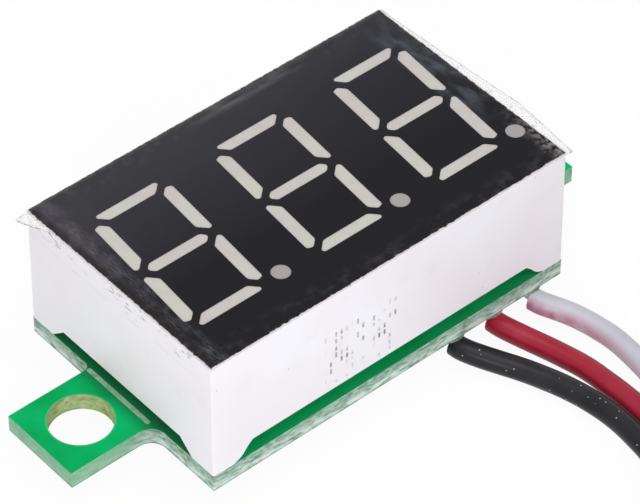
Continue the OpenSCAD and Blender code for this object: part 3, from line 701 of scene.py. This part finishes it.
def fired_or_moulded(name, colour, second, roughness, grain_mm, depth_mm, share=0.3):
    """Ceramic, laminate or chip epoxy: a matt body with filler grains of one size."""
    material, tree, surface, place = finish(name, colour, roughness, IOR=1.5)
    filler = wear(tree, place, grain_mm, 0.4, 0.7, 4)
    body = coat(tree, paint(colour), second, filler, share)
    bump = add(tree, "Bump", {"Height": filler, "Distance": depth_mm * MM, "Strength": 0.5})
    drive(tree, surface, Base_Color=body, Normal=bump)
    return material


def glazed_resistor():
    """Chip resistor: white alumina body with a glossy black glaze over its film side."""
    material, tree, surface, place = finish("glazed_resistor", "#1B1B1D", 0.28, IOR=1.5)
    nz = add(tree, "SeparateXYZ", add(tree, "TexCoord", out="Normal"), out=2)
    glaze = add(tree, "Math", nz, -0.6, operation="LESS_THAN")
    alumina = wear(tree, place, 0.1, 0.35, 0.7, 4)
    body = coat(tree, paint("#E9E6DE"), "#D3CEC2", alumina)
    colour = coat(tree, body, "#1C1C1F", glaze)
    level = add(tree, "MapRange", glaze, 0, 1, 0.6, 0.28)
    bump = add(tree, "Bump", {"Height": alumina, "Distance": 0.003 * MM, "Strength": 0.4})
    drive(tree, surface, Base_Color=colour, Roughness=level, Normal=bump)
    return material


def cured_flash():
    """Thin clear resin squeezed out at the face's edge: milky white with a few dirty spots."""
    material, tree, surface, place = finish(
        "cured_resin_flash", "#FAFAFA", 0.3, IOR=1.1, Transmission_Weight=0.5)
    colour = coat(tree, paint("#FBFAFA"), "#B5B2B2", wear(tree, place, 0.35, 0.58, 0.72, 4), 0.4)
    wrinkled = wear(tree, place, 0.6, 0.3, 0.7, 2)
    bump = add(tree, "Bump", {"Height": wrinkled, "Distance": 0.005 * MM, "Strength": 0.2})
    drive(tree, surface, Base_Color=colour, Normal=bump)
    return material


def flash_rim():
    """The broken rim of the flash: grey, rough and patchy."""
    material, tree, surface, place = finish("grey_flash_rim", "#A5A1A1", 0.7)
    grey_patches = wear(tree, place, 0.22, 0.4, 0.62, 5)
    colour = coat(tree, paint("#E6E4E3"), "#989495", grey_patches)
    bump = add(tree, "Bump", {"Height": grey_patches, "Distance": 0.01 * MM, "Strength": 0.4})
    drive(tree, surface, Base_Color=colour, Normal=bump)
    return material


finishes = {
    "housing": moulded_housing(),
    "film": printed_film(),
    "resin": cast_resin(),
    "board": solder_mask_board(),
    "trace": masked_copper(),
    "silkscreen": silkscreen_ink_with_painted_shade(),
    "flash": cured_flash(),
    "flash rim": flash_rim(),
    "black": lead_insulation("black", "#17171B", "#222227", "#C9C9CE", 0.7),
    "red": lead_insulation("red", "#98182F", "#A3243A", "#E0A0A8", 0.03),
    "white": lead_insulation("white", "#C5C4CD", "#BDBCC5", "#A9A9AE", 0.03, "#BC6B8B"),
    "tin": frozen_metal("tin_plate", "#C9CACC", "#A6A8AB", 0.3, 0.4, 0.004),
    "solder": frozen_metal("frozen_solder", "#C6C9CE", "#9FA2A6", 0.22, 0.3, 0.01),
    "brass": stamped_brass(),
    "strands": fluxed_strands(),
    "chip": fired_or_moulded("moulded_chip_epoxy", "#232326", "#3A3A3E", 0.62, 0.09, 0.006),
    "capacitor": fired_or_moulded("fired_titanate", "#B59A72", "#94784F", 0.5, 0.1, 0.004, 0.6),
    "resistor": glazed_resistor(),
    "trimmer": fired_or_moulded("pressed_alumina", "#E9E4D6", "#D6CFBC", 0.55, 0.15, 0.006, 0.6),
    "laminate": fired_or_moulded("bare_laminate", "#D8D2B8", "#BDB592", 0.6, 0.3, 0.01, 0.7),
    "die": fired_or_moulded("sawn_gallium_die", "#B8B4A0", "#8E8A76", 0.35, 0.05, 0.001),
    "tie": fired_or_moulded("matt_tie_plastic", "#262628", "#3A3A3D", 0.6, 0.12, 0.006),
}

# CAD nodes that keep their own shape
KEPT_NODES = {
    "potting_resin": "resin", "led_board": "laminate", "led_chips": "die",
    "display_pins_upper": "tin", "display_pins_lower": "tin",
    "pin_solder_upper": "solder", "pin_solder_lower": "solder", "main_board": "board",
    "microcontroller_leads": "tin", "regulator_leads": "tin", "diode_leads": "tin",
    "trimmer_terminals": "tin", "trimmer_eyelet": "tin", "lead_solder": "solder",
    "lead_conductors": "strands",
}
for node_name, finish_name in KEPT_NODES.items():
    for material_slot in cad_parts[node_name].material_slots:
        material_slot.material = finishes[finish_name]


def dress(piece, finish_name, body="meter"):
    """Gives a finished piece its material and the body it rides on."""
    piece.data.materials.clear()
    piece.data.materials.append(finishes[finish_name])
    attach(piece, body)
    return piece


# ---------------------------------------------------------------- display

def housing_shell():
    """The moulded housing with the small radii that its outer edges really have."""
    shell = copied_node("display_housing", "housing_shell")
    # the walls' draft leans them in by less than this
    draft = 0.12 * MM

    def outer_edge(middle, direction):
        at_end = abs(middle.x) > shell_high.x - draft
        at_side = abs(middle.y) > shell_high.y - draft
        if upright(middle, direction) and at_end and at_side:
            return True
        return middle.z > shell_high.z - NEAR and (at_end or at_side)

    pick(shell, "EDGE", outer_edge)
    bpy.ops.mesh.bevel(offset=0.1 * MM, segments=3, affect="EDGES")
    settle(shell, "housing_shell")
    smooth(shell, 35)
    dress(shell, "housing")
    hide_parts("display_housing")


def face_sheet():
    """The printed film: its windows' upper rims are turned a little by the print."""
    film = copied_node("face_film", "face_sheet")
    pick(film, "EDGE", lambda middle, direction: middle.z > film_high.z - NEAR)
    bpy.ops.mesh.bevel(offset=0.02 * MM, segments=1, affect="EDGES", clamp_overlap=True)
    settle(film, "face_sheet")
    smooth(film, 35)
    dress(film, "film")
    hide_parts("face_film")


def resin_flashes():
    """The flakes of cured resin that stand out of the face's short edges: a thin wavy sheet
    with a broken, grey rim."""
    flakes = copied_node("edge_flash", "resin_flashes")
    bpy.ops.mesh.select_all(action="SELECT")
    bpy.ops.mesh.subdivide(number_cuts=7)
    pick(flakes, "VERT", lambda at: abs(at.x) > film_high.x + 0.03 * MM)
    bpy.ops.transform.vertex_random(offset=0.035 * MM, uniform=0, normal=0, seed=4)
    settle(flakes, "resin_flashes")
    dress(flakes, "flash")
    flakes.data.materials.append(finishes["flash rim"])
    edit(flakes)
    flakes.active_material_index = 1
    pick(flakes, "FACE", lambda middle, normal: (
        abs(normal.z) < 0.6 and abs(middle.x) > film_high.x + 0.05 * MM))
    bpy.ops.object.material_slot_assign()
    smooth(flakes, 40)
    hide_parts("edge_flash")


# ---------------------------------------------------------------- board

# Thickness of the printed ink
INK = 0.02 * MM


def ear_lines():
    """The silkscreen line across the root of each ear, with rounded ends."""
    root = shell_high.x + 0.16 * MM
    half_width = 0.125 * MM
    front, back = -2.33 * MM, 2.42 * MM
    lines = [
        rounded_bar(
            "ear_line", (side * root - half_width, front, board_high.z),
            (side * root + half_width, back, board_high.z + INK),
            radius=0.11 * MM, segments=4)
        for side in (-1, 1)
    ]
    dress(joined(lines, "ear_lines"), "silkscreen")


def pin_pads():
    """Tinned rings on the board's back, one round each soldered pin and lead."""
    pad = disc("pin_pad", radius=0.85 * MM, depth=0.035 * MM, sides=32)
    stepped(pad, (0.08, -0.02))
    places = []
    for node_name in ("pin_solder_upper", "pin_solder_lower", "lead_solder"):
        for low, high in solids_of(node_name):
            middle = (low + high) / 2
            places.append((middle.x, middle.y, board_low.z))
    pads = joined(copied_to(pad, places), "pin_pads")
    dress(smooth(pads, 40), "solder")


def solder_lands():
    """Flattened solder under the foot of every surface-mounted lead and chip end, wider than
    it by a few hundredths or tenths of a millimetre."""
    land_depth = 0.04 * MM
    # a bent lead lies on the board with its outer end only
    middle_to_foot, half_foot = 0.45 * MM, 0.3 * MM
    lands = []
    for node_name, grow in (
        ("microcontroller_leads", 0.06), ("regulator_leads", 0.15), ("diode_leads", 0.2),
        ("capacitor_ends", 0.22), ("resistor_ends", 0.18), ("trimmer_terminals", 0.1),
    ):
        for low, high in solids_of(node_name):
            if node_name == "microcontroller_leads":
                middle = (low + high) / 2
                foot = middle.y + math.copysign(middle_to_foot, middle.y)
                low.y, high.y = foot - half_foot, foot + half_foot
            reach = Vector((grow, grow, 0)) * MM
            low, high = low - reach, high + reach
            low.z, high.z = board_low.z - land_depth, board_low.z
            lands.append(stepped(block("land", low, high), (0.04, -0.02)))
    dress(smooth(joined(lands, "solder_lands"), 50), "solder")


# Masked traces on the board's back, in millimetres: width, then the corners of the path.
# Those from the chip to the back row of pins run to the front row too.
PIN_TRACES = [
    (0.22, (-5.43, 3.2), (-5.43, 3.5), (-6.35, 4.42), (-6.35, 5.08)),
    (0.22, (-4.13, 3.2), (-4.13, 3.6), (-3.81, 3.92), (-3.81, 5.08)),
    (0.22, (-2.18, 3.2), (-2.18, 3.5), (-1.27, 4.41), (-1.27, 5.08)),
    (0.22, (0.43, 3.2), (0.43, 3.5), (1.27, 4.34), (1.27, 5.08)),
]
TRACES = PIN_TRACES + [
    (width, *((x, -y) for x, y in corners)) for width, *corners in PIN_TRACES
] + [
    (0.22, (-0.88, 3.2), (-0.88, 3.8), (-0.1, 4.58), (-0.1, 5.9), (3, 5.9), (3.81, 5.08)),
    (0.22, (4.0, 3.6), (4.4, 4), (5.27, 4), (6.35, 5.08)),
    (0.22, (-7, -1.1), (-6.5, -1.1), (-6.1, -1.5), (-6.1, -2.5), (-5.43, -3.1)),
    (0.22, (-7, -2.4), (-6.7, -2.4), (-6.7, -3.3), (-6.2, -3.8)),
    (0.3, (-10.4, -1.1), (-10.4, -3.7)),
    (0.3, (-8.8, 0.4), (-8.8, -0.5), (-9.2, -0.9), (-9.2, -1.1)),
    (0.3, (-10, 4), (-10, 5.6), (-7.2, 5.6), (-6.35, 5.08)),
    (0.5, (6.84, -6.3), (6.84, -4), (6.1, -3.26), (6.1, -2.8)),
    (0.5, (4.3, -6.3), (3.81, -5.8), (3.81, -5.08)),
    (0.22, (9.38, -6.3), (10.9, -4.8), (10.9, 4.4), (9.2, 6.1), (6.9, 6.1), (6.35, 5.08)),
    (0.4, (2.5, -2.8), (1.9, -2.2), (1.9, -0.6), (2.5, 0), (2.5, 0.4)),
    (0.5, (7.7, -3.2), (7.7, -1.4), (7.15, -0.85), (7.15, 0.1)),
    (0.4, (7.15, 1.6), (6.3, 1.6), (5.6, 2), (4.4, 2)),
    (0.4, (7.15, 3.1), (6.2, 3.1), (5.2, 2.6), (4.3, 2.1)),
    (0.3, (5.6, 0.6), (5.6, -0.4), (4.9, -1.1), (4.1, -1.1), (3.6, -0.6), (4.2, 0.3)),
]
# Places where a trace passes through the board
VIAS = [(-6.2, -3.8), (-10, 4), (1.9, -1.4), (5.6, -0.4), (-0.1, 5.3), (10.9, -1), (7.7, -2)]


def masked_traces():
    """Copper traces, each a low rounded ridge under the mask with mitred bends, half sunk in
    the board."""
    ridge_height = 0.05
    ridges = []
    for width, *corners in TRACES:
        data = bpy.data.curves.new("trace", "CURVE")
        data.dimensions = "3D"
        data.bevel_depth = width * MM / 2
        data.bevel_resolution = 1
        data.use_fill_caps = True
        spline = data.splines.new("POLY")
        spline.points.add(len(corners) - 1)
        for point, (x, y) in zip(spline.points, corners):
            point.co = (x * MM, y * MM, 0, 1)
        ridge = bpy.data.objects.new("trace", data)
        bpy.context.collection.objects.link(ridge)
        only(ridge)
        bpy.ops.object.convert(target="MESH")
        ridge.scale = (1, 1, ridge_height / width)
        ridge.location.z = board_low.z
        ridges.append(ridge)
    dress(smooth(joined(ridges, "masked_traces"), 60), "trace")


def through_vias():
    """Small plated holes under the mask: a raised ring round a shallow dimple."""
    via = disc("via", radius=0.3 * MM, depth=0.03 * MM, sides=20)
    stepped(via, (0.06, -0.015), (0.08, 0.035))
    vias = copied_to(via, [(x * MM, y * MM, board_low.z) for x, y in VIAS])
    dress(smooth(joined(vias, "through_vias"), 50), "trace")


def part_outlines():
    """Silkscreen bars on the board's back, along both sides of each chip resistor and
    capacitor. Neighbours share the bar between them."""
    gap, half_width, half_length = 0.25 * MM, 0.05 * MM, 0.55 * MM
    bars = []
    places = set()
    for node_name in ("chip_resistors", "ceramic_capacitors"):
        for low, high in solids_of(node_name):
            size = high - low
            along_y = node_name == "chip_resistors" and size.y > size.x
            for side in (-1, 1):
                middle = (low + high) / 2
                middle.z = board_low.z
                if along_y:
                    middle.x += side * (size.x / 2 + gap)
                    half = Vector((half_width, half_length, 0))
                else:
                    middle.y += side * (size.y / 2 + gap)
                    half = Vector((half_length, half_width, 0))
                place = tuple(round(value / MM, 2) for value in middle)
                if place not in places:
                    places.add(place)
                    bars.append(rounded_bar(
                        "bar", middle - half - Vector((0, 0, INK)), middle + half,
                        radius=0.045 * MM, segments=2))
    dress(joined(bars, "part_outlines"), "silkscreen")


def softened_parts():
    """Chip parts with the small radii that their moulding, firing or stamping gives."""
    for node_name, name, radius, finish_name, slot_name, body in (
        ("microcontroller", "microcontroller_body", 0.06, "chip", "chip_mould", "meter"),
        ("voltage_regulator", "regulator_body", 0.07, "chip", "chip_mould", "meter"),
        ("protection_diode", "diode_body", 0.06, "chip", "chip_mould", "meter"),
        ("ceramic_capacitors", "capacitor_bodies", 0.05, "capacitor", "capacitor_ceramic", "meter"),
        ("capacitor_ends", "capacitor_caps", 0.09, "solder", "tinned_metal", "meter"),
        ("chip_resistors", "resistor_bodies", 0.03, "resistor", "resistor_glaze", "meter"),
        ("resistor_ends", "resistor_caps", 0.06, "solder", "tinned_metal", "meter"),
        ("trimmer_base", "trimmer_block", 0.05, "trimmer", "trimmer_ceramic", "meter"),
        ("trimmer_rotor", "trimmer_wheel", 0.04, "brass", "rotor_brass", "trimmer"),
        ("coil_tie", "lead_tie", 0.08, "tie", "tie", "meter"),
    ):
        part = copied_node(node_name, name)
        pick_sharp(40)
        bpy.ops.mesh.bevel(offset=radius * MM, segments=2, affect="EDGES", clamp_overlap=True)
        bpy.ops.mesh.select_all(action="SELECT")
        bpy.ops.mesh.dissolve_degenerate(threshold=WELD)
        settle(part, name)
        smooth(part, 35)
        dress(part, finish_name, body)
        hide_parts(node_name)


# ---------------------------------------------------------------- leads

def twisted_tips():
    """The tinned ends of the leads: six strands twisted together and frozen in tin."""
    strand_count, twists, knots = 6, 2.5, 40
    # distance of a strand from the middle line, in millimetres, and a strand's width
    off_middle, strand_width = 0.115, 0.15 * MM
    strands = []
    for _, radius, turns in LEADS.values():
        level = FLOOR_LEVEL + TURN_RISE * turns
        sweep = TIP_LENGTH / radius / (2 * math.pi)
        for number in range(strand_count):
            points = []
            for i in range(knots + 1):
                share = i / knots
                x, y, z = winding_point(radius, turns + sweep * share, level)
                turned = 2 * math.pi * (number / strand_count + twists * share)
                outwards = Vector((x - COIL_AT[0], y - COIL_AT[1], 0)).normalized()
                aside = math.cos(turned) * outwards + math.sin(turned) * Vector((0, 0, 1))
                points.append(tuple(Vector((x, y, z)) + off_middle * aside))
            strand = smooth_curve("strand", points, strand_width, rings=1, sides=2)
            only(strand)
            bpy.ops.object.convert(target="MESH")
            strands.append(strand)
    return dress(smooth(joined(strands, "twisted_tips"), 60), "tin")


def coiled_leads():
    """The three insulated leads, each with its own winding of the coil."""
    tips = twisted_tips()
    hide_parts("lead_tips")
    for colour, (route, *_) in LEADS.items():
        lead = leads[colour]
        dress(lead, colour)
        if colour == "white":
            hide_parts("lead_white", "lead_coil")
        else:
            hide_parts("lead_" + colour)


housing_shell()
face_sheet()
resin_flashes()
ear_lines()
pin_pads()
solder_lands()
masked_traces()
through_vias()
part_outlines()
softened_parts()
coiled_leads()


# ---------------------------------------------------------------- floor and light

def seen_rays(tree):
    """1 for rays that show a thing, straight or by way of another, and 0 for its light."""
    path = add(tree, "LightPath").node.outputs
    seen = add(tree, "Math", path["Is Glossy Ray"], path["Is Transmission Ray"],
               operation="MAXIMUM")
    return add(tree, "Math", path["Is Camera Ray"], seen, operation="MAXIMUM")


def white_floor():
    """Matt white card that the meter lies on, seen nearly pure white with a faint shadow."""
    bpy.ops.object.select_all(action="DESELECT")
    bpy.ops.mesh.primitive_plane_add(size=3)
    floor = bpy.context.object
    floor.name = "white_floor"
    material = bpy.data.materials.new("white_card")
    material.use_nodes = True
    tree = material.node_tree
    card = tree.nodes["Principled BSDF"]
    card.inputs["Base Color"].default_value = paint("#F0F0F0")
    card.inputs["Roughness"].default_value = 0.9
    card.inputs["Specular IOR Level"].default_value = 0.0
    # what the shadow keeps of its strength is the rest of this share
    glowing = 0.94
    share = add(tree, "Math", seen_rays(tree), glowing, operation="MULTIPLY")
    glow = add(tree, "Emission", {"Color": (1, 1, 1, 1), "Strength": 1.0})
    lit = add(tree, "MixShader", {0: share, 1: card.outputs[0], 2: glow})
    tree.links.new(lit, tree.nodes["Material Output"].inputs["Surface"])
    floor.data.materials.append(material)


def soft_light():
    """A bright even room, a broad lamp overhead and two smaller ones at the front."""
    world = bpy.data.worlds.new("white_room")
    bpy.context.scene.world = world
    world.use_nodes = True
    tree = world.node_tree
    room = tree.nodes["Background"]
    room.inputs["Color"].default_value = (1, 1, 1, 1)
    light_given, white_seen = 0.57, 1.0
    level = add(tree, "MapRange", seen_rays(tree), 0, 1, light_given, white_seen)
    tree.links.new(level, room.inputs["Strength"])
    for name, place, size, power in (
        ("lamp_above", (-0.05, -0.12, 0.65), 0.5, 1.42),
        ("lamp_front_left", (-0.2, -0.2, 0.14), 0.12, 0.3),
        ("lamp_front_right", (0.2, -0.3, 0.3), 0.15, 0.25),
    ):
        bpy.ops.object.light_add(type="AREA", location=place)
        lamp = bpy.context.object
        lamp.name = name
        lamp.data.size = size
        lamp.data.energy = power
        lamp.rotation_euler = Vector(place).to_track_quat("Z", "Y").to_euler()


white_floor()
soft_light()
bpy.context.scene.view_settings.view_transform = "Standard"
